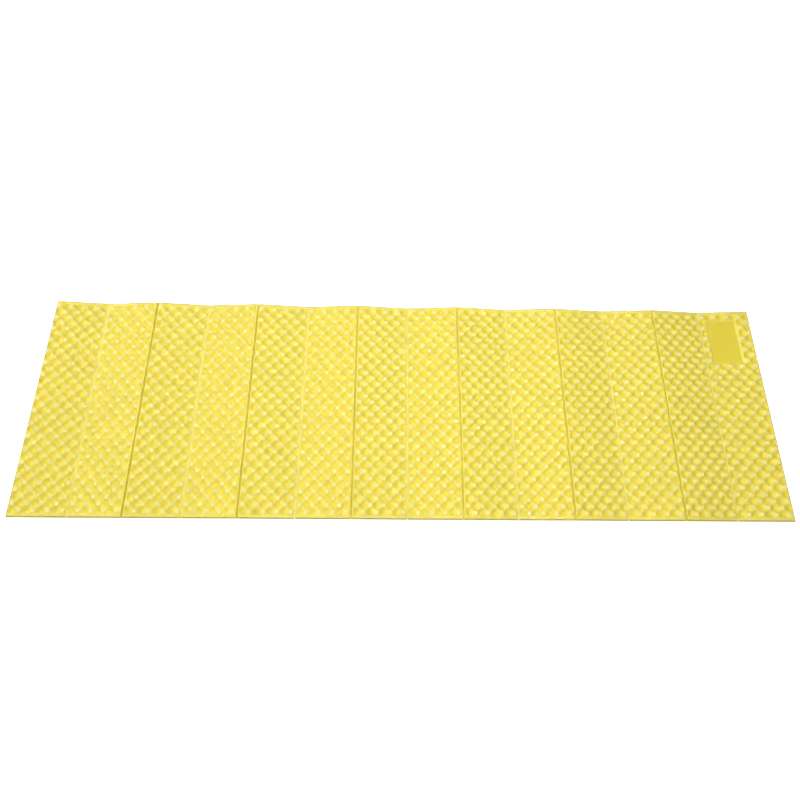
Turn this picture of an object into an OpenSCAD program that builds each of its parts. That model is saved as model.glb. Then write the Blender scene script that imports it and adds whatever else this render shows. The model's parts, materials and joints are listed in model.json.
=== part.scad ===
// Folding foam sleeping pad.
// One long sheet of moulded closed-cell foam is pressed into fourteen stiff panels joined by thirteen
// thin creases, so it opens to a bed and folds like a concertina. Each panel is a softer top layer
// bonded to a firmer base layer, both moulded to the same waves so that folded panels nest.
// X runs along the pad, Y across it and Z up. The pad stands on its odd-numbered creases.

/* [Pad] */
// Length of the pad when it lies flat, in mm
pad_length = 1830; // [1680:10:2000]
// Width of the pad, in mm
pad_width = 510; // [400:5:640]
// Thickness of the foam between its two wavy faces, in mm
sheet_t = 9.6; // [8:0.2:12]
// Share of the thickness that is the softer top layer
top_share = 0.5; // [0.3:0.05:0.7]

/* [Waves] */
// Rise and fall of the moulded wave either side of the sheet's middle, in mm
wave_rise = 5; // [2:0.5:6]
// Whole waves across one panel
waves = 4; // [3:1:5]
// Plain strip between a crease and the first wave, in mm
plain_strip = 2.1; // [2:0.1:4]

/* [Creases] */
// Slope of each panel in the part-opened rest pose, in degrees
rest_tilt = 8; // [3:1:30]
// Clear space left between two panels folded face to face, in mm
fold_clear = 0.4; // [0.3:0.1:1]
// Distance from the hinge line to the foam on the joined side of a crease, in mm
web_gap = 0.8; // [0.7:0.1:1.2]
// Distance from the hinge line to the foam on the open side of a crease, in mm
groove_gap = 1.8; // [1.3:0.1:2]
// Thickness of the pressed web that joins two panels, in mm
web_t = 1.2; // [0.6:0.1:2]

/* [Label] */
// Rows of waves left out along the last panel for the blank label, in eighths of a wave from its crease
label_from = 4; // [4:8:4]
// Last eighth of a wave that the label covers
label_to = 24; // [12:4:28]
// Distance from the rear edge to the label's recess, in mm
label_edge = 22.2; // [8:0.1:40]
// Length of the label's recess across the pad, in mm
label_len = 116.4; // [40:0.1:200]
// Margin between the recess wall and the label, in mm
label_margin = 1; // [0.5:0.5:6]
// Thickness of the label, in mm
label_t = 0.4; // [0.2:0.1:1]

/* [Hidden] */
panels = 14;
pitch = pad_length / panels;
hinge_z = sheet_t / 2 + fold_clear / 2;
glue_z = sheet_t / 2 - top_share * sheet_t;
step_x = pitch * cos(rest_tilt) + 2 * hinge_z * sin(rest_tilt);
rise_z = pitch * sin(rest_tilt) - 2 * hinge_z * cos(rest_tilt);
samples = 8 * waves;
sample_x = (pitch - 2 * plain_strip) / samples;
label_rear = pad_width / 2 - label_edge;
label_front = label_rear - label_len;
web_wide = 0.5;
web_high = 0.25;
web_play = 0.05;
foam_top = [0.93, 0.83, 0.27];
foam_base = [0.72, 0.66, 0.22];
foam_web = [0.80, 0.72, 0.22];
foam_label = [0.87, 0.80, 0.28];

// +1 where a crease's web is on the pad's top face, -1 where it is on the underside
function side(k) = (k % 2 == 1) ? 1 : -1;
// slope of a panel at rest, turned about Y
function tilt(i) = (i % 2 == 1) ? rest_tilt : -rest_tilt;
// a point turned about Y
function turned(p, a) = [p[0] * cos(a) + p[1] * sin(a), p[1] * cos(a) - p[0] * sin(a)];
// height of the wave at one sample across a panel, flattened where a label lies
function wave(j, flat) =
    (flat && j > label_from && j < label_to) ? -wave_rise : wave_rise * sin(360 * j * waves / samples);
// gap between a crease's hinge line and the foam at one level of the sheet
function gap(k, z) =
    (k == 0 || k == panels) ? web_gap
    : web_gap + (groove_gap - web_gap) * (sheet_t / 2 - side(k) * z) / sheet_t;
// one face of a layer, from the left crease to the right one
function face(i, z, flat) = concat(
    [[gap(i - 1, z), z]],
    [for (j = [0 : samples]) [plain_strip + j * sample_x, z + wave(j, flat)]],
    [[pitch - gap(i, z), z]]
);
function reversed(v) = [for (j = [len(v) - 1 : -1 : 0]) v[j]];
// closed outline of a layer between two levels of the sheet
function layer(i, low, high, flat = false) = concat(face(i, low, flat), reversed(face(i, high, flat)));
// lowest point of a panel at rest, measured from the odd creases' hinge lines
function lowest(i) = min([
    for (p = face(i, -sheet_t / 2, false))
        turned([p[0] - (side(i) > 0 ? pitch : 0), p[1] - hinge_z], tilt(i))[1]
]);
floor_z = -min(lowest(7), lowest(8));

// position of a crease's hinge line at rest
function hinge(k) = [(k - 7) * step_x, floor_z + (side(k) > 0 ? 0 : rise_z)];
// a point beside a crease, just clear of the end of the panel to its left or right
function beside(k, z, way) =
    hinge(k) + turned([way * (gap(k, z) - web_play), z - side(k) * hinge_z], tilt(way > 0 ? k + 1 : k));

// draws a shape in a panel's own frame: its left hinge line at X 0 and the sheet's middle at Z 0
module place(i) {
    translate([hinge(i - 1)[0], 0, hinge(i - 1)[1]])
        rotate([0, tilt(i), 0])
            translate([0, 0, -side(i - 1) * hinge_z])
                children();
}

// an outline in X and Z drawn out along Y
module across(from, to) {
    translate([0, to, 0])
        rotate([90, 0, 0])
            linear_extrude(height = to - from)
                children();
}

module layer_solid(i, low, high) {
    place(i)
        if (i == panels) {
            across(-pad_width / 2, label_front)
                polygon(layer(i, low, high));
            across(label_front, label_rear)
                polygon(layer(i, low, high, true));
            across(label_rear, pad_width / 2)
                polygon(layer(i, low, high));
        } else {
            across(-pad_width / 2, pad_width / 2)
                polygon(layer(i, low, high));
        }
}

module panel_top(i) {
    color(foam_top) layer_solid(i, glue_z, sheet_t / 2);
}

module panel_base(i) {
    color(foam_base) layer_solid(i, -sheet_t / 2, glue_z);
}

module crease_web(k) {
    s = side(k);
    outer = s * sheet_t / 2;
    inner = s * (sheet_t / 2 - web_t);
    color(foam_web)
        across(-pad_width / 2, pad_width / 2)
            polygon([beside(k, outer, -1), beside(k, outer, 1), beside(k, inner, 1), beside(k, inner, -1)]);
}

// the middle of the centre crease, which both halves of the pad fold about
module centre_web() {
    color(foam_web)
        translate([hinge(7)[0], 0, hinge(7)[1]])
            across(-pad_width / 2, pad_width / 2)
                polygon([
                    [-web_wide, -web_high],
                    [web_wide, -web_high],
                    [web_wide, web_high],
                    [-web_wide, web_high]
                ]);
}

module blank_label() {
    from_x = plain_strip + (label_from + 1) * sample_x + label_margin;
    to_x = plain_strip + (label_to - 1) * sample_x - label_margin;
    base_z = sheet_t / 2 - wave_rise;
    color(foam_label)
        place(panels)
            across(label_front + label_margin, label_rear - label_margin)
                polygon([[from_x, base_z], [to_x, base_z], [to_x, base_z + label_t], [from_x, base_z + label_t]]);
}

panel_top(1);  // panel_01_top
panel_base(1);  // panel_01_base
panel_top(2);  // panel_02_top
panel_base(2);  // panel_02_base
panel_top(3);  // panel_03_top
panel_base(3);  // panel_03_base
panel_top(4);  // panel_04_top
panel_base(4);  // panel_04_base
panel_top(5);  // panel_05_top
panel_base(5);  // panel_05_base
panel_top(6);  // panel_06_top
panel_base(6);  // panel_06_base
panel_top(7);  // panel_07_top
panel_base(7);  // panel_07_base
panel_top(8);  // panel_08_top
panel_base(8);  // panel_08_base
panel_top(9);  // panel_09_top
panel_base(9);  // panel_09_base
panel_top(10);  // panel_10_top
panel_base(10);  // panel_10_base
panel_top(11);  // panel_11_top
panel_base(11);  // panel_11_base
panel_top(12);  // panel_12_top
panel_base(12);  // panel_12_base
panel_top(13);  // panel_13_top
panel_base(13);  // panel_13_base
panel_top(14);  // panel_14_top
panel_base(14);  // panel_14_base
crease_web(1);  // crease_web_01
crease_web(2);  // crease_web_02
crease_web(3);  // crease_web_03
crease_web(4);  // crease_web_04
crease_web(5);  // crease_web_05
crease_web(6);  // crease_web_06
centre_web();  // crease_web_07
crease_web(8);  // crease_web_08
crease_web(9);  // crease_web_09
crease_web(10);  // crease_web_10
crease_web(11);  // crease_web_11
crease_web(12);  // crease_web_12
crease_web(13);  // crease_web_13
blank_label();
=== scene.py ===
import json
import math

import bpy
import numpy as np
from mathutils import Matrix, Vector


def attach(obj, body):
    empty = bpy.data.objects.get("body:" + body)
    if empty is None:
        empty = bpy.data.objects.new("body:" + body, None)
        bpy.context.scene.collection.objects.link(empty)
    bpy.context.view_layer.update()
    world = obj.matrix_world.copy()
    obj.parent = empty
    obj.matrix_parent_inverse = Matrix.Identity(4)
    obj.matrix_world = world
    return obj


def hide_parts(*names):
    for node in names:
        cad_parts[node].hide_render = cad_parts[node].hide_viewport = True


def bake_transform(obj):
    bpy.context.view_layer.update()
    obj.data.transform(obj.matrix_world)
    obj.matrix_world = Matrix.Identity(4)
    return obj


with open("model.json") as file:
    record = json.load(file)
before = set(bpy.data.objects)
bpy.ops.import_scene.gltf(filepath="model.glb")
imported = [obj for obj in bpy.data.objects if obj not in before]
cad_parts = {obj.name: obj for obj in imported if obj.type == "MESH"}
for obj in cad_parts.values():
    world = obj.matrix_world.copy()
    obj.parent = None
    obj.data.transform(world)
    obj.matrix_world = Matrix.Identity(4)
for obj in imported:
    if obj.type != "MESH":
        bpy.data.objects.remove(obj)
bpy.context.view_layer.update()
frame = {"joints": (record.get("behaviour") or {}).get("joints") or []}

# Sizes in millimetres, as in part.scad, unless a comment says metres. The pad lies along x,
# its width is y and z is up.
PANELS = 14
LENGTH = 1830
PITCH = LENGTH / PANELS
MIDDLE = 7                      # the crease in the middle of the pad
HALF_W = 255.0
HALF_T = 4.8
HINGE_Z = 5.0                   # from the sheet's middle to the hinge lines
TILT = math.radians(8)
STRIP = 2.1                     # plain foam between a crease and the pattern
WAVES = 4
LAMBDA = (PITCH - 2 * STRIP) / WAVES
ROW = 14.55                     # pitch of the pattern's rows across the pad
ROWS = 34
FIRST_ROW = -(ROWS - 1) * ROW / 2
FIELD = -FIRST_ROW + ROW / 2    # from the pad's centre line to the end of the pattern
NEAR = 0.01                     # points closer than this are the same

# The moulded pattern. Pairs are the underside's value, then the top's.
KNOB = (4.0, 4.2)
CUP_DEPTH = (4.5, 3.9)
CUP_RADII = ((10.2, 9.4), (9.2, 8.6))           # along the pad, and across it
CUP_POWER = 1.1
DIMPLE, DIMPLE_R2 = 1.7, 6.5                    # depth, and radius squared
KNOB_RING, KNOB_RING_WIDTH = 3.1, 1.4           # the ring round a knob's dimple, where a highlight is painted
FIELD_FADE = 3                                  # over which the pattern starts at its edges
CREST_PER_MM, RIDGE_CREST = 0.16, 0.4           # how raised a height and a ridge count as, for the painted shade and highlight
FACE_GRID = ((7, 0.25), (10, 0.36))             # samples to a half period, and their crowding
BOND_WAVE = 4.5                 # rise and fall of the bond between a panel's two layers
BOND_GAP = 0.05                 # half the gap left there

# Creases and cut edges: how far the foam stays from a hinge line at its web and at its open
# side, how far the top's outer edges stand back, and each ring of an edge as (in from the
# wall, down from the face). A ring is TIGHT on the side of a crease that its web closes, the
# wall is STRAIGHT from there down, and a slit's lip ends LIP below the face.
WEB_GAP, GROOVE_GAP = 0.8, 0.9
EDGE_INSET = 0.7
STRAIGHT = 1.4
EDGE_RINGS = [(1.9, 0.0), (1.35, 0.08), (0.5, 0.5), (0.0, STRAIGHT), (0.0, HALF_T - BOND_GAP)]
TIGHT = 0.25
LIP = 1.0
# how raised the rounded cut edges and the webs count as, which gives them some painted highlight
EDGE_CREST = 0.4

# The webs: thickness, how far they lap into the foam, how far they lie below the face, how
# far short of the pad's sides they stop, and their pinch and waviness.
WEB_DEPTH, WEB_LAP, WEB_SINK, WEB_END = 1.1, 0.35, 0.08, 0.6
WEB_PINCH, WEB_PINCH_BACK = 0.2, -0.4
WEB_WANDER, WEB_KNOTS, WEB_ROWS = 0.12, 30, 175

# The sunk ground of the label on the end panel, and the label: its margins in that ground, its
# corner radius and each ring of its pressed border as (in from the edge, up from the ground).
LABEL_X = (17.9, 97.0)
LABEL_Y = (116.4, 232.8)
LABEL_SINK = 5.0
LABEL_FADE = 3.5
LABEL_MARGINS = (5.0, 4.5)
LABEL_RADIUS, LABEL_ARC = 5.0, 8
LABEL_RINGS = [(0.0, 0.0), (0.0, 0.25), (0.15, 0.38), (0.9, 0.4), (1.3, 0.30), (1.9, 0.30), (2.3, 0.4)]

# Colour of the darker outer cut edges, and how much of it the webs underneath get as painted shade at
# the bottom of the mountain creases' slits. The slits of the mountain creases get painted light, paler
# inside, which their crest value tells the material.
DARK_TONE = (0.38, 0.32, 0.09)
WEB_PAINTED_SHADE = 0.33
SLIT_CREST = 2.0
SLIT_PAINTED_LIGHT = (0.97, 0.86, 0.08)


# ---------------------------------------------------------------- camera

# Solved from the photo's perspective: where the camera stands, in metres; its heading, downward
# pitch and roll, in degrees; its lens; and how far the picture is shifted, in picture widths.
CAMERA_AT = (-0.0763, -0.2644, 1.6931)
CAMERA_TURN = (3.85, 63.9, 4.61)
CAMERA_LENS, CAMERA_SENSOR = 29.25, 36
CAMERA_SHIFT = -0.241875


def make_camera():
    """The photographer's view, from above and a little in front of the middle of the pad."""
    data = bpy.data.cameras.new("camera")
    cam = bpy.data.objects.new("camera", data)
    bpy.context.scene.collection.objects.link(cam)
    yaw, pitch, roll = (math.radians(a) for a in CAMERA_TURN)
    flat = math.cos(pitch)
    ahead = Vector((math.sin(yaw) * flat, math.cos(yaw) * flat, -math.sin(pitch)))
    level = Vector((math.cos(yaw), -math.sin(yaw), 0))
    over = level.cross(ahead)
    right = level * math.cos(roll) + over * math.sin(roll)
    up = over * math.cos(roll) - level * math.sin(roll)
    turn = Matrix((right, up, -ahead)).transposed()
    cam.matrix_world = Matrix.Translation(CAMERA_AT) @ turn.to_4x4()
    data.lens, data.sensor_width = CAMERA_LENS, CAMERA_SENSOR
    data.shift_y = CAMERA_SHIFT
    data.clip_start, data.clip_end = 0.05, 60
    bpy.context.scene.camera = cam


# ---------------------------------------------------------------- the moulded surface

def side(k):
    """+1 where a crease's web is on the top face, -1 where it is on the underside."""
    return 1 if k % 2 else -1


def gap(k, z):
    """Distance from a crease's hinge line to the foam, at one level of the sheet."""
    if k in (0, PANELS):
        return WEB_GAP
    return WEB_GAP + (GROOVE_GAP - WEB_GAP) * (HALF_T - side(k) * z) / (2 * HALF_T)


def smooth(t):
    """A soft step from 0 to 1."""
    t = np.clip(t, 0, 1)
    return t * t * (3 - 2 * t)


def carrier(x, y):
    """The plain egg-crate wave: -1 in the middle of a cup, 1 on a peak, 0 on the flat rims."""
    along = np.where((x > STRIP) & (x < PITCH - STRIP), np.sin(2 * np.pi * (x - STRIP) / LAMBDA), 0)
    over = np.where(np.abs(y) < FIELD, np.cos(np.pi * (y - FIRST_ROW) / ROW), 0)
    return -along * over


def embossed(x, y, odd):
    """Height of the moulded pattern, how much of a ridge it is, and the rings of its knobs, where a
    highlight is painted.

    Broad round cups have narrow ridges between them, and a small dimpled knob stands where four
    ridges meet. Knobs are where column + row is odd, as on the top, or even, as underneath.
    """
    u = (x - STRIP) / LAMBDA * 2 - 0.5
    v = (y - FIRST_ROW) / ROW
    cup = np.zeros_like(x)
    top = np.zeros_like(x)
    rim = np.zeros_like(x)
    wide, deep = CUP_RADII[odd]
    for du in (0, 1):
        for dv in (0, 1):
            m, j = np.floor(u) + du, np.floor(v) + dv
            dx, dy = (u - m) * LAMBDA / 2, (v - j) * ROW
            knob_here = (m + j) % 2 == odd
            bowl = np.clip(1 - (dx / wide) ** 2 - (dy / deep) ** 2, 0, 1) ** CUP_POWER
            cup = np.maximum(cup, np.where(knob_here, 0, bowl))
            r2 = dx * dx + dy * dy
            top = top - np.where(knob_here, DIMPLE * np.exp(-(r2 / DIMPLE_R2) ** 1.5), 0)
            # the ring round each knob's dimple, where a highlight is painted
            ring = np.exp(-((np.sqrt(r2) - KNOB_RING) / KNOB_RING_WIDTH) ** 2)
            rim = rim + np.where(knob_here, ring, 0)
    s = carrier(x, y) * (1 if odd else -1)
    ahead, behind, aside = x - STRIP, PITCH - STRIP - x, FIELD - np.abs(y)
    fade = smooth(ahead / FIELD_FADE) * smooth(behind / FIELD_FADE) * smooth(aside / FIELD_FADE)
    knob = KNOB[odd] * smooth(s) * (1 if odd else fade) + top * smooth(s * 2)
    ridge = RIDGE_CREST * (1 - smooth(5 * cup * fade))
    return knob - CUP_DEPTH[odd] * cup * fade, ridge, rim * smooth(s * 2)


def label_share(x, y):
    """1 on the flat ground of the label, 0 outside it."""
    inside = np.minimum.reduce([x - LABEL_X[0], LABEL_X[1] - x, y - LABEL_Y[0], LABEL_Y[1] - y])
    return smooth(inside / LABEL_FADE)


def with_label(h, x, y, flat):
    """The same height with the label's sunk, flat ground let into the end panel."""
    if not flat:
        return h
    share = label_share(x, y)
    return h * (1 - share) - LABEL_SINK * share


def face_height(x, y, flat, top):
    """Height of one moulded face, how raised it counts as for its painted shade and highlight, and its
    knobs' rings, where a highlight is painted.
    """
    h, ridge, rim = embossed(x, y, 1 if top else 0)
    height = with_label(h if top else -h, x, y, flat)
    bare = 1 - label_share(x, y) if flat else 1
    return height, (h * CREST_PER_MM + ridge) * bare, rim * bare


def middle_height(x, y, flat):
    """Height of the bond between a panel's two layers."""
    return with_label(BOND_WAVE * carrier(x, y), x, y, flat)


# ---------------------------------------------------------------- placing panels

def hinge_lines():
    """Crease number to its hinge line's x and z at rest, in metres."""
    found = {}
    for j in frame["joints"]:
        x, _, z = j["pos_m"]
        found[int(j["name"].split("_")[1])] = (x, z)
    return found


def place(i, points):
    """Points in a panel's own frame, in millimetres, to the row frame, in metres."""
    k, x0 = (i, PITCH) if i <= MIDDLE else (i - 1, 0.0)
    hx, hz = HINGES[k]
    a = TILT if i % 2 else -TILT
    x = points[:, 0] - x0
    z = points[:, 2] - side(k) * HINGE_Z
    out = np.empty_like(points)
    out[:, 0] = hx + (x * math.cos(a) + z * math.sin(a)) / 1000
    out[:, 1] = points[:, 1] / 1000
    out[:, 2] = hz + (z * math.cos(a) - x * math.sin(a)) / 1000
    return out


# ---------------------------------------------------------------- meshes

def spaced(low, high, period, phase, count, crowd):
    """Samples from low to high, crowded where (x - phase) is a whole number of half periods."""
    n = max(2, int(round((high - low) / (period / 2) * count)))
    t = np.linspace(low, high, n + 1)
    bend = crowd * period / 2 / (2 * np.pi)
    x = t - bend * np.sin(2 * np.pi * (t - phase) / (period / 2))
    x[0], x[-1] = low, high
    return x


def grid_lines(count, crowd):
    """Where a face's points lie along and across a panel, closer together at knobs and cups."""
    xs = spaced(STRIP, PITCH - STRIP, LAMBDA, STRIP + LAMBDA / 4, count, crowd)
    ys = spaced(-FIELD, FIELD, 2 * ROW, FIRST_ROW, count, crowd)
    return xs, ys


def grid_faces(index):
    """A face between each four neighbouring points of a grid."""
    corners = [index[:-1, :-1], index[1:, :-1], index[1:, 1:], index[:-1, 1:]]
    return np.stack(corners, -1).reshape(-1, 4)


def grid_outline(index):
    """The points round a grid, counter-clockwise from the front left corner."""
    return np.concatenate([index[:, 0], index[-1, 1:], index[-2::-1, -1], index[0, -2:0:-1]])


def grid_corners(index):
    """Where the four sides of that outline begin, and where the last one ends."""
    nx, ny = index.shape
    return np.array([0, nx - 1, nx + ny - 2, 2 * nx + ny - 3, 2 * nx + 2 * ny - 4])


def edge_at(i, sign, tight, step_in, down):
    """The two ends and the half width of a layer at one ring of its cut edge."""
    inset = EDGE_INSET if sign > 0 else 0.0
    z = sign * HALF_T - sign * down
    ends = [gap(i - 1, z) + step_in * tight[0], PITCH - gap(i, z) - step_in * tight[1]]
    if i == 1:
        ends[0] += inset
    if i == PANELS:
        ends[1] -= inset
    return ends[0], ends[1], HALF_W - inset - step_in


def stitch(outer, outer_corners, inner, inner_corners):
    """Many-sided faces from a fine outline to a coarser one inside it, side by side."""
    faces = []
    for s in range(4):
        far = [outer[q % len(outer)] for q in range(outer_corners[s], outer_corners[s + 1] + 1)]
        near = [inner[q % len(inner)] for q in range(inner_corners[s], inner_corners[s + 1] + 1)]
        cuts = np.round(np.linspace(0, len(far) - 1, len(near))).astype(int)
        for a in range(len(near) - 1):
            chunk = far[cuts[a]:cuts[a + 1] + 1]
            faces.append([near[a], near[a + 1], *chunk[::-1]])
    return faces


def build_layer(name, i, top):
    """One closed layer of one panel: its moulded face, rounded cut edges and bonded inner face."""
    flat = i == PANELS
    sign = 1 if top else -1
    # tight on the side of a crease that its web closes, full at a groove and at the outer edges
    tight = [TIGHT if 0 < k < PANELS and side(k) == sign else 1.0 for k in (i - 1, i)]

    # the moulded face, out to where its cut edges begin
    xs, ys = grid_lines(*FACE_GRID[1 if top else 0])
    lo, hi, wide = edge_at(i, sign, tight, *EDGE_RINGS[0])
    xs = np.concatenate([[lo], xs[(xs > lo + 0.2) & (xs < hi - 0.2)], [hi]])
    rim = np.linspace(wide, ys[-1], 4)
    ys = np.concatenate([-rim[:-1], ys, rim[:-1][::-1]])
    gx, gy = np.meshgrid(xs, ys, indexing="ij")
    h, raised, highlight_ring_share = face_height(gx, gy, flat, top)
    verts = [np.stack([gx, gy, sign * HALF_T + h], -1).reshape(-1, 3)]
    crest = [raised.reshape(-1)]
    seal = [np.zeros(gx.size)]
    face = np.arange(gx.size).reshape(gx.shape)
    quads = [grid_faces(face)]

    # the cut edges, ring by ring
    last = grid_outline(face)
    x0, y0 = verts[0][last][:, :2].T
    at_lo, at_hi, at_side = x0 < lo + NEAR, x0 > hi - NEAR, np.abs(y0) > wide - NEAR
    cut = at_side | (i == 1) & at_lo | (i == PANELS) & at_hi
    # the wall of a mountain crease's slit gets painted light, paler than the face, but only below its
    # lip
    slit = (side(i - 1) < 0) & at_lo | (side(i) < 0) & at_hi
    start = gx.size
    for step_in, down in EDGE_RINGS[1:]:
        left, right, half = edge_at(i, sign, tight, step_in, down)
        drop = np.full(len(x0), down)
        if down < STRAIGHT:
            drop[~at_side & at_lo] *= tight[0]
            drop[~at_side & at_hi] *= tight[1]
        x = left + (x0 - lo) / (hi - lo) * (right - left)
        verts.append(np.stack([x, y0 / wide * half, sign * (HALF_T - drop)], -1))
        crest.append(np.where(slit & ~cut & (down > LIP or not top), SLIT_CREST, EDGE_CREST))
        # the outer cut edges are darker
        seal.append(np.where(cut, 1.0, 0.0))
        ring = np.arange(start, start + len(x0))
        start += len(x0)
        quads.append(np.stack([last, ring, np.roll(ring, -1), np.roll(last, -1)], -1))
        last = ring

    # the bonded inner face, coarser, joined to the outline by many-sided faces
    along = STRIP + LAMBDA / 4 * np.arange(4 * WAVES + 1)
    over = np.linspace(-(ROWS / 2) * ROW, ROWS / 2 * ROW, 2 * ROWS + 1)
    ax, ay = np.meshgrid(along, over, indexing="ij")
    az = sign * BOND_GAP + middle_height(ax, ay, flat)
    verts.append(np.stack([ax, ay, az], -1).reshape(-1, 3))
    crest.append(np.zeros(ax.size))
    seal.append(np.zeros(ax.size))
    inner = start + np.arange(ax.size).reshape(ax.shape)
    quads.append(grid_faces(inner)[:, [0, 3, 2, 1]])
    polys = np.concatenate(quads).tolist()
    polys += stitch(last, grid_corners(face), grid_outline(inner), grid_corners(inner))
    if not top:
        polys = [p[::-1] for p in polys]

    verts = np.concatenate(verts)
    polish = np.zeros(len(verts))
    polish[:gx.size] = highlight_ring_share.reshape(-1)
    return new_piece(name, place(i, verts), polys, verts + [PITCH * (i - 1), 0, 0],
                     crest=np.concatenate(crest), seal=np.concatenate(seal), polish=polish)


def new_piece(name, points, faces, local, smooth_faces=True, **shares):
    """An object from points in metres. Its materials read where each point lies on the flat pad,
    in millimetres here, and each of the named shares."""
    mesh = bpy.data.meshes.new(name)
    mesh.from_pydata(points.tolist(), [], faces)
    mesh.update()
    if smooth_faces:
        mesh.polygons.foreach_set("use_smooth", np.ones(len(mesh.polygons), bool))
    for key, values in shares.items():
        layer = mesh.attributes.new(key, "FLOAT", "POINT")
        layer.data.foreach_set("value", np.asarray(values, np.float32))
    layer = mesh.attributes.new("local", "FLOAT_VECTOR", "POINT")
    layer.data.foreach_set("vector", (np.asarray(local, np.float32) / 1000).reshape(-1))
    piece = bpy.data.objects.new(name, mesh)
    bpy.context.scene.collection.objects.link(piece)
    return piece


def build_web(name, k, part):
    """The pressed web of a crease: a thin strip between two panels, waved a little as it runs."""
    s = side(k)
    left, right = {"whole": (-1, 1), "left": (-1, 0), "right": (0, 1)}[part]
    across = np.linspace(left, right, 9 if part == "whole" else 5)
    ys = np.linspace(-HALF_W + WEB_END, HALF_W - WEB_END, WEB_ROWS)
    hx, hz = HINGES[k]
    rng = np.random.default_rng(100 + k)
    knots = np.linspace(ys[0], ys[-1], WEB_KNOTS)
    wander = np.interp(ys, knots, rng.uniform(-WEB_WANDER, WEB_WANDER, WEB_KNOTS))
    outline = [(u, 0.0) for u in across] + [(u, WEB_DEPTH) for u in across[::-1]]
    rows = []
    for y, w in zip(ys, wander):
        for u, depth in outline:
            reach = abs(u) * (gap(k, s * (HALF_T - depth)) + WEB_LAP)
            a = TILT if (u < 0) == (k % 2 == 1) else -TILT
            pinch = WEB_PINCH * (1 - u * u) * (1 if depth == 0 else WEB_PINCH_BACK)
            z = s * (HALF_T - WEB_SINK - depth - pinch) - s * HINGE_Z
            x = math.copysign(reach, u)
            rows.append((hx * 1000 + x * math.cos(a) + z * math.sin(a), y,
                         hz * 1000 + z * math.cos(a) - x * math.sin(a) + s * w * (1 - u * u)))
    rows = np.array(rows)
    n = len(outline)
    index = np.arange(len(ys) * n).reshape(len(ys), n)
    nxt = np.roll(index, -1, axis=1)
    quads = np.stack([index[:-1], nxt[:-1], nxt[1:], index[1:]], -1).reshape(-1, 4).tolist()
    quads += [index[0][::-1].tolist(), index[-1].tolist()]
    if s < 0:
        quads = [q[::-1] for q in quads]
    # a web on the underside gets painted shade, for the bottom of its crease's slit
    return new_piece(name, rows / 1000, quads, rows + [LENGTH / 2, 0, 0],
                     crest=np.full(len(rows), EDGE_CREST),
                     seal=np.full(len(rows), 0.0 if s > 0 else WEB_PAINTED_SHADE))


def build_label(name):
    """The blank label: a thin sheet with rounded corners and a pressed border, on its flat ground."""
    x0, x1 = LABEL_X[0] + LABEL_MARGINS[0], LABEL_X[1] - LABEL_MARGINS[0]
    y0, y1 = LABEL_Y[0] + LABEL_MARGINS[1], LABEL_Y[1] - LABEL_MARGINS[1]
    radius = LABEL_RADIUS
    outline = []
    for cx, cy, start in ((x1 - radius, y1 - radius, 0), (x0 + radius, y1 - radius, 90),
                          (x0 + radius, y0 + radius, 180), (x1 - radius, y0 + radius, 270)):
        for q in range(LABEL_ARC + 1):
            a = math.radians(start + 90 * q / LABEL_ARC)
            outline.append((cx, cy, math.cos(a), math.sin(a)))
    verts = []
    for step_in, up in LABEL_RINGS:
        verts += [(cx + (radius - step_in) * c, cy + (radius - step_in) * s, HALF_T - LABEL_SINK + up)
                  for cx, cy, c, s in outline]
    m = len(outline)
    rings = np.arange(len(verts)).reshape(-1, m)
    faces = []
    for low, high in zip(rings[:-1].tolist(), rings[1:].tolist()):
        faces += [(low[q], low[(q + 1) % m], high[(q + 1) % m], high[q]) for q in range(m)]
    faces += [rings[-1].tolist(), rings[0][::-1].tolist()]
    verts = np.array(verts)
    return new_piece(name, place(PANELS, verts), faces, verts + [PITCH * (PANELS - 1), 0, 0],
                     smooth_faces=False, crest=np.zeros(len(verts)))


# ---------------------------------------------------------------- materials

def set_range(node, *numbers):
    """Both ends of a range, then both ends of what it becomes."""
    for name, number in zip(("From Min", "From Max", "To Min", "To Max"), numbers):
        node.inputs[name].default_value = number


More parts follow.
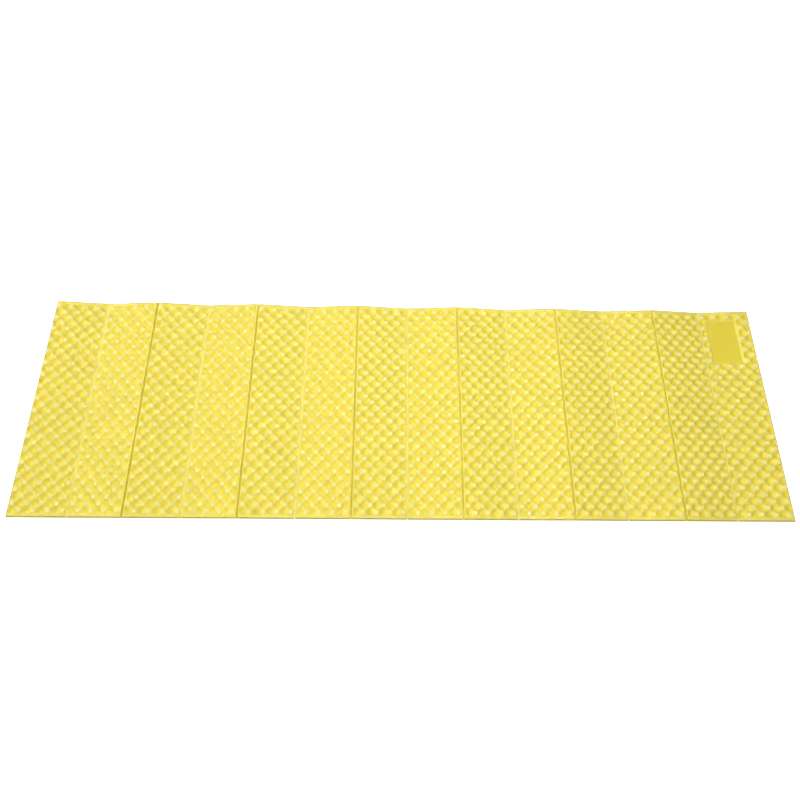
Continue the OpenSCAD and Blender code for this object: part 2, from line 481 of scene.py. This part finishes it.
class Nodes:
    """A short way to write a node tree."""

    def __init__(self, name):
        self.material = bpy.data.materials.new(name)
        self.material.use_nodes = True
        self.tree = self.material.node_tree
        self.tree.nodes.clear()
        out = self.add("ShaderNodeOutputMaterial")
        self.shader = self.add("ShaderNodeBsdfPrincipled")
        self.link(self.shader.outputs[0], out.inputs["Surface"])

    def set(self, **values):
        """Inputs of the main shader, with a low line for each space in their names."""
        for key, value in values.items():
            self.shader.inputs[key.replace("_", " ")].default_value = value

    def add(self, kind):
        return self.tree.nodes.new(kind)

    def share(self, name, output="Fac"):
        """A value stored on the mesh."""
        node = self.add("ShaderNodeAttribute")
        node.attribute_name = name
        return node.outputs[output]

    def link(self, a, b):
        self.tree.links.new(a, b)

    def noise(self, where, scale, detail, rough=0.5):
        node = self.add("ShaderNodeTexNoise")
        node.inputs["Scale"].default_value = scale
        node.inputs["Detail"].default_value = detail
        node.inputs["Roughness"].default_value = rough
        self.link(where, node.inputs["Vector"])
        return node.outputs["Fac"]

    def ramp(self, value, low, high, out_low=0.0, out_high=1.0):
        """A soft step from out_low to out_high as the value goes from low to high."""
        node = self.add("ShaderNodeMapRange")
        node.interpolation_type = "SMOOTHSTEP"
        set_range(node, low, high, out_low, out_high)
        self.link(value, node.inputs["Value"])
        return node.outputs[0]

    def bump(self, height, strength, distance, under=None):
        """A normal from a height, on top of another normal if one is given."""
        node = self.add("ShaderNodeBump")
        node.inputs["Strength"].default_value = strength
        node.inputs["Distance"].default_value = distance
        self.link(height, node.inputs["Height"])
        if under:
            self.link(under, node.inputs["Normal"])
        return node.outputs[0]

    def mix(self, share, a, b):
        """Colour a, going over to b as the share goes from 0 to 1."""
        node = self.add("ShaderNodeMix")
        node.data_type = "RGBA"
        for socket, value in ((node.inputs[0], share), (node.inputs[6], a), (node.inputs[7], b)):
            if isinstance(value, bpy.types.NodeSocket):
                self.link(value, socket)
            elif isinstance(value, (tuple, list)):
                socket.default_value = (*value, 1)
            else:
                socket.default_value = value
        return node.outputs[2]

    def math(self, operation, a, b):
        node = self.add("ShaderNodeMath")
        node.operation = operation
        for socket, value in zip(node.inputs, (a, b)):
            if isinstance(value, bpy.types.NodeSocket):
                self.link(value, socket)
            else:
                socket.default_value = value
        return node.outputs[0]


# The foam's grain: sizes of the noises, in periods to the metre, and the colour of its specks.
CLOUD, MOTTLE, UNEVEN, DENT, GRAIN, CELLS = 9.0, 70.0, 55.0, 190.0, 900.0, 1150.0
SPECK = (0.30, 0.24, 0.03)
TIRED = 0.80                    # brightness of the duller clouds
KNOB_HIGHLIGHT_TINT = (0.05, 0.08, 0.12)      # painted highlight: what the rings round the knobs' dimples add to the crest's colour


def foam(name, hollow, body, crest, rough, cells=1.0):
    """Closed-cell foam with a moulded skin: fine cells, soft mottling and smoother crests with a
    painted highlight.

    The three colours are of the bottoms of its cups, darker and more saturated as painted shade, of
    the plain foam and of its crests, paler as painted highlight.
    """
    n = Nodes(name)
    where = n.share("local", "Vector")
    rise, ring, sealed = n.share("crest"), n.share("polish"), n.share("seal")
    mottle = n.noise(where, MOTTLE, 4.0, 0.6)
    grain = n.noise(where, GRAIN, 3.0, 0.65)

    # colour, from the painted shade at the bottom of the cups to the painted highlight on the knobs'
    # rings, then the darker cut edges
    level = n.math("ADD", rise, n.math("MULTIPLY", n.math("SUBTRACT", mottle, 0.5), 0.2))
    colour = n.mix(n.ramp(level, -0.75, 0.0), hollow, body)
    colour = n.mix(n.ramp(level, 0.12, 0.85), colour, crest)
    # painted light on the walls of the mountain creases' slits
    colour = n.mix(n.ramp(rise, 1.1, 1.9), colour, SLIT_PAINTED_LIGHT)
    clouds = n.ramp(n.noise(where, CLOUD, 4.0, 0.55), 0.38, 0.75, 0.0, 0.12)
    colour = n.mix(clouds, colour, tuple(TIRED * c for c in body))
    colour = n.mix(n.ramp(grain, 0.58, 0.74, 0.0, 0.14), colour, SPECK)
    # painted highlight on the rings round the knobs' dimples, stronger on some knobs than others
    painted_highlight = n.math("MULTIPLY", ring, n.ramp(n.noise(where, UNEVEN, 2.0), 0.3, 0.6, 0.65, 0.95))
    colour = n.mix(painted_highlight, colour, tuple(min(1, c + d) for c, d in zip(crest, KNOB_HIGHLIGHT_TINT)))
    # the outer cut edges are darker, and the webs underneath get painted shade
    colour = n.mix(n.ramp(sealed, 0.15, 0.6), colour, DARK_TONE)
    n.link(colour, n.shader.inputs["Base Color"])

    # roughness: crests are worn smoother, the darker edges are dull
    worn = n.math("ADD", n.ramp(rise, 0.3, 1.0, 0.0, -0.1), n.ramp(mottle, 0.35, 0.7, -0.03, 0.05))
    worn = n.math("ADD", worn, n.ramp(sealed, 0.15, 0.6, 0.0, 0.5))
    n.link(n.math("ADD", worn, rough), n.shader.inputs["Roughness"])

    n.shader.subsurface_method = "BURLEY"
    n.set(Subsurface_Weight=0.7, Subsurface_Radius=(1.0, 0.8, 0.2), Subsurface_Scale=0.0013,
          IOR=1.47, Specular_IOR_Level=0.36)

    # fine cells under the skin, and softer dents over them
    cell = n.add("ShaderNodeTexVoronoi")
    cell.feature = "F1"
    cell.inputs["Scale"].default_value = CELLS
    n.link(where, cell.inputs["Vector"])
    height = n.math("ADD", cell.outputs["Distance"], n.math("MULTIPLY", grain, 0.6))
    fine = n.bump(height, 0.22 * cells, 0.00022)
    soft = n.bump(n.noise(where, DENT, 3.0), 0.5, 0.0002, fine)
    n.link(soft, n.shader.inputs["Normal"])
    return n.material


def dress(piece, material, slot, body, nodes, foam_piece=True):
    """Give a piece its material and the body that it rides on, and hide the CAD nodes that it stands
    for.
    """
    piece.data.materials.append(material)
    if body:
        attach(piece, body)
    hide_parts(*nodes)
    return piece


# ---------------------------------------------------------------- light and floor

def softbox(name, azimuth, elevation, power, size, distance=3.2):
    """A square soft light aimed at the middle of the pad, with its angles in degrees, its power
    in watts and its sizes in metres. Azimuth 0 is +X and 90 is +Y."""
    data = bpy.data.lights.new(name, "AREA")
    data.shape = "SQUARE"
    data.size = size
    data.energy = power
    lamp = bpy.data.objects.new(name, data)
    bpy.context.scene.collection.objects.link(lamp)
    a, e = math.radians(azimuth), math.radians(elevation)
    towards = Vector((math.cos(e) * math.cos(a), math.cos(e) * math.sin(a), math.sin(e)))
    lamp.location = towards * distance
    lamp.rotation_euler = (-lamp.location).to_track_quat("-Z", "Y").to_euler()


FLOOR_REACH, FLOOR_Z = 12.0, -0.0005            # metres
FLOOR_GREY, FLOOR_GLOW = 0.8, 0.70
# The room's brightness at its left and right, and how high above the floor its white band goes.
ROOM_LEFT, ROOM_RIGHT = 0.38, 0.30
BAND_FROM, BAND_TO = 0.04, 0.25


def make_floor():
    """A plain white floor, a little below the pad's lowest point."""
    mesh = bpy.data.meshes.new("floor")
    signs = ((-1, -1), (1, -1), (1, 1), (-1, 1))
    corners = [(x * FLOOR_REACH, y * FLOOR_REACH, FLOOR_Z) for x, y in signs]
    mesh.from_pydata(corners, [], [(0, 1, 2, 3)])
    floor = bpy.data.objects.new("floor", mesh)
    bpy.context.scene.collection.objects.link(floor)
    n = Nodes("white_floor")
    n.set(Base_Color=(FLOOR_GREY, FLOOR_GREY, FLOOR_GREY, 1), Roughness=0.9,
          Emission_Color=(1, 1, 1, 1), Emission_Strength=FLOOR_GLOW)
    mesh.materials.append(n.material)


def make_room():
    """A white room, brighter on the left, and white all round at the height of the floor."""
    world = bpy.data.worlds.new("studio")
    bpy.context.scene.world = world
    world.use_nodes = True
    nodes, link = world.node_tree.nodes, world.node_tree.links.new
    background = nodes["Background"]
    background.inputs[0].default_value = (1, 1, 1, 1)
    where = nodes.new("ShaderNodeTexCoord")
    split = nodes.new("ShaderNodeSeparateXYZ")
    link(where.outputs["Generated"], split.inputs[0])
    level = nodes.new("ShaderNodeMapRange")
    set_range(level, -1, 1, ROOM_LEFT, ROOM_RIGHT)
    link(split.outputs[0], level.inputs["Value"])
    low = nodes.new("ShaderNodeMapRange")
    set_range(low, BAND_FROM, BAND_TO, 1.0, 0.0)
    link(split.outputs[2], low.inputs["Value"])
    strength = nodes.new("ShaderNodeMath")
    strength.operation = "MAXIMUM"
    link(level.outputs[0], strength.inputs[0])
    link(low.outputs[0], strength.inputs[1])
    link(strength.outputs[0], background.inputs[1])


def make_stage():
    """The floor, the room, and four soft lights as bright as the photo's."""
    make_floor()
    make_room()
    softbox("key", 165, 27, 16, size=0.4, distance=2.6)
    softbox("front_left", 230, 50, 8, size=0.4)
    softbox("front", 275, 45, 6, size=0.4)
    softbox("overhead", 55, 80, 17, size=0.6, distance=1.8)
    bpy.context.scene.view_settings.view_transform = "Standard"


# ---------------------------------------------------------------- putting it together

HINGES = hinge_lines()
make_camera()

# each foam's cups are darker and more saturated as painted shade, its crests paler as painted
# highlight
FOAM_TOP = foam("foam_top", (0.87, 0.70, 0.045), (0.90, 0.76, 0.11), (0.92, 0.80, 0.20), 0.28)
FOAM_BASE = foam("foam_base", (0.82, 0.68, 0.06), (0.86, 0.72, 0.10), (0.88, 0.76, 0.16), 0.45)
FOAM_CREASE = foam("foam_crease", (0.88, 0.74, 0.12), (0.92, 0.80, 0.20), (0.92, 0.82, 0.24), 0.4)
LABEL_YELLOW = (0.84, 0.68, 0.058)
LABEL = foam("label_film", LABEL_YELLOW, LABEL_YELLOW, LABEL_YELLOW, 0.5, cells=0.4)

for i in range(1, PANELS + 1):
    body = f"panel_{i:02d}"
    dress(build_layer(f"top_foam_{i:02d}", i, True), FOAM_TOP, "foam_top", body, [f"{body}_top"])
    dress(build_layer(f"base_foam_{i:02d}", i, False), FOAM_BASE, "foam_base", body, [f"{body}_base"])
for k in range(1, PANELS):
    node = f"crease_web_{k:02d}"
    # a web on the underside has the base foam's colour
    skin = (FOAM_CREASE, "foam_crease") if side(k) > 0 else (FOAM_BASE, "foam_base")
    if k == MIDDLE:
        for part, body, way in (("left", "panel_07", -1), ("right", "panel_08", 1)):
            piece = dress(build_web(f"web_{k:02d}_{part}", k, part), *skin, None, [node])
            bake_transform(piece)
    else:
        piece = dress(build_web(f"web_{k:02d}", k, "whole"), *skin, None, [node])
        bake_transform(piece)
dress(build_label("blank_label_film"), LABEL, "label", "panel_14", ["blank_label"], foam_piece=False)

make_stage()
